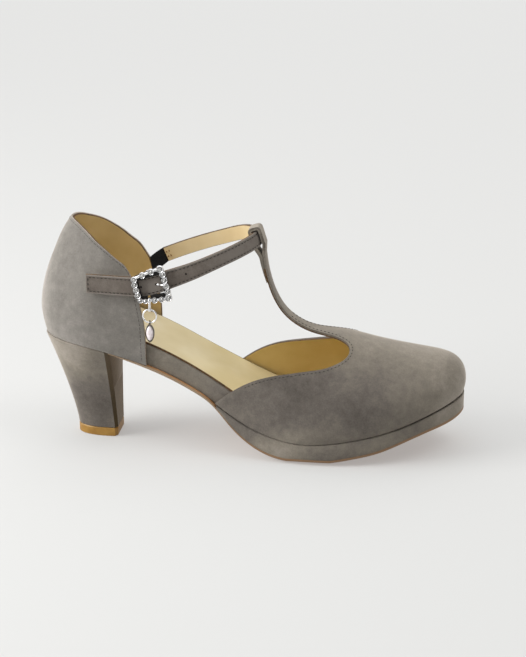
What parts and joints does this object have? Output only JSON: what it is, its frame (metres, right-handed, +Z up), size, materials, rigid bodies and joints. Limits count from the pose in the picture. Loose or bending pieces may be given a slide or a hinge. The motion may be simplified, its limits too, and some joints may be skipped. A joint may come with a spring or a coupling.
{
  "type": "pump shoe",
  "caption": "Right T-strap platform pump in suede with a covered heel, open waist, and an ankle strap with a beaded buckle and a swinging drop charm.",
  "frame": {"origin": "on the floor, under the middle of the shoe's bounding box", "axes": "+X along the shoe to the toe, +Y to the inner (medial) side, +Z up"},
  "size_m": [0.2367, 0.077, 0.1266],
  "materials": {
    "suede": "matt grey-taupe suede",
    "sock_leather": "smooth cream leather",
    "outsole_tan": "tan sole leather",
    "top_piece": "honey-coloured rubber",
    "elastic": "black woven elastic",
    "silver": "polished silver plating",
    "stone": "clear stone in silver bezel"
  },
  "bodies": {
    "shoe": {"outsole": "outsole_tan", "platform": "suede", "footbed": "suede", "insole_sock": "sock_leather", "heel_block": "suede", "top_piece": "top_piece", "quarter": "suede", "vamp": "suede", "ankle_strap": "suede", "buckle_elastic": "elastic", "strap_elastic": "elastic", "buckle_frame": "silver", "buckle_prong": "silver"},
    "charm_link": {"charm_link": "silver"},
    "charm_ring": {"charm_ring": "silver"},
    "charm_drop": {"charm_drop": "stone"}
  },
  "joints": [
    {"name": "link_swing", "type": "hinge", "parent": "shoe", "child": "charm_link", "pos_m": [-0.05139, -0.03393, 0.09009], "axis": [-1, 0, 0], "range_deg": [-3, 70]},
    {"name": "ring_swing", "type": "hinge", "parent": "charm_link", "child": "charm_ring", "pos_m": [-0.05139, -0.03393, 0.08384], "axis": [0, 1, 0], "range_deg": [-35, 35]},
    {"name": "drop_swing", "type": "hinge", "parent": "charm_ring", "child": "charm_drop", "pos_m": [-0.05139, -0.03393, 0.07746], "axis": [-1, 0, 0], "range_deg": [-3, 55]}
  ]
}
